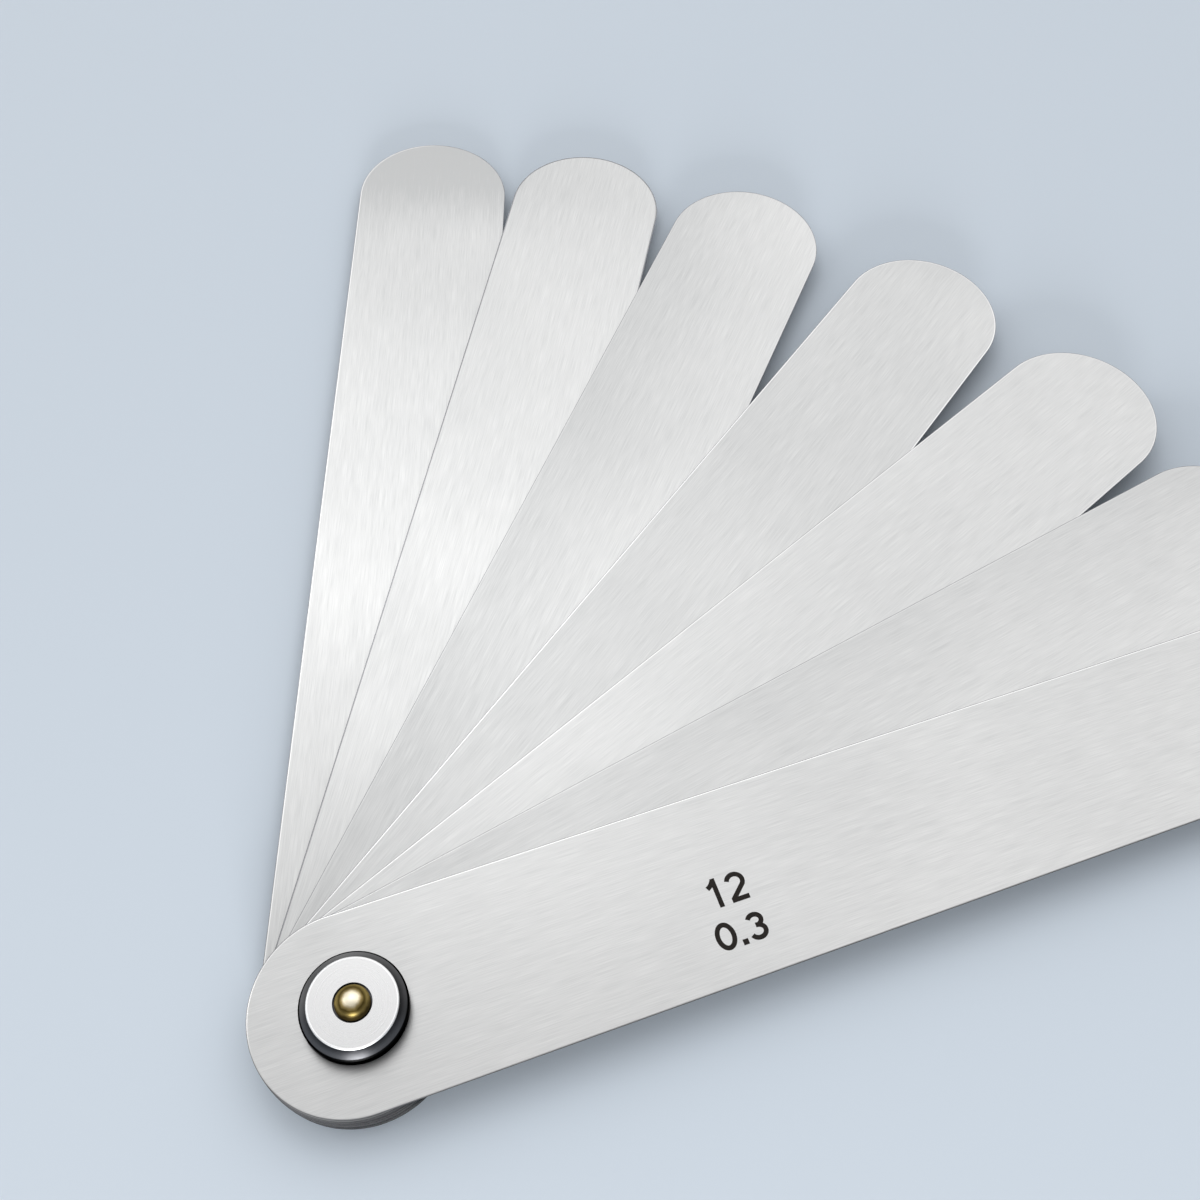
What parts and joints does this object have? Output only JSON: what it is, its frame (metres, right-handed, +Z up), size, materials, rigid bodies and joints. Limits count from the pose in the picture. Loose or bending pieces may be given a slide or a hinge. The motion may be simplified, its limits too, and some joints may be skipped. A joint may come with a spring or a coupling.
{
  "type": "leaf gauge",
  "caption": "Fan of long round-ended spring-steel feeler leaves that swing on one riveted brass pivot between two turned discs, open as a fan.",
  "frame": {"origin": "on the pivot axis at the rear disc's flat resting face", "axes": "+Z up the pivot pin towards its domed head, +X along the front leaf from the pivot to its tip, leaves open towards +Y"},
  "size_m": [0.254, 0.2409, 0.0151],
  "materials": {
    "spring_steel": "brushed along the leaf",
    "turned_steel": "polished flank, fine turned face",
    "washer_steel": "plain",
    "brass": "polished"
  },
  "bodies": {
    "pivot": {"rear_disc": "turned_steel", "front_disc": "turned_steel", "pivot_pin": "brass", "rear_washer": "washer_steel", "spacer_1": "washer_steel", "spacer_2": "washer_steel", "spacer_3": "washer_steel", "spacer_4": "washer_steel", "spacer_5": "washer_steel", "spacer_6": "washer_steel", "front_washer": "washer_steel"},
    "leaf_1": {"leaf_1": "spring_steel"},
    "leaf_2": {"leaf_2": "spring_steel"},
    "leaf_3": {"leaf_3": "spring_steel"},
    "leaf_4": {"leaf_4": "spring_steel"},
    "leaf_5": {"leaf_5": "spring_steel"},
    "leaf_6": {"leaf_6": "spring_steel"},
    "leaf_7": {"leaf_7": "spring_steel"}
  },
  "joints": [
    {"name": "leaf_1_swing", "type": "hinge", "parent": "pivot", "child": "leaf_1", "pos_m": [0, 0, 0], "axis": [0, 0, 1], "continuous": true},
    {"name": "leaf_2_swing", "type": "hinge", "parent": "pivot", "child": "leaf_2", "pos_m": [0, 0, 0], "axis": [0, 0, 1], "continuous": true},
    {"name": "leaf_3_swing", "type": "hinge", "parent": "pivot", "child": "leaf_3", "pos_m": [0, 0, 0], "axis": [0, 0, 1], "continuous": true},
    {"name": "leaf_4_swing", "type": "hinge", "parent": "pivot", "child": "leaf_4", "pos_m": [0, 0, 0], "axis": [0, 0, 1], "continuous": true},
    {"name": "leaf_5_swing", "type": "hinge", "parent": "pivot", "child": "leaf_5", "pos_m": [0, 0, 0], "axis": [0, 0, 1], "continuous": true},
    {"name": "leaf_6_swing", "type": "hinge", "parent": "pivot", "child": "leaf_6", "pos_m": [0, 0, 0], "axis": [0, 0, 1], "continuous": true},
    {"name": "leaf_7_swing", "type": "hinge", "parent": "pivot", "child": "leaf_7", "pos_m": [0, 0, 0], "axis": [0, 0, 1], "continuous": true}
  ]
}
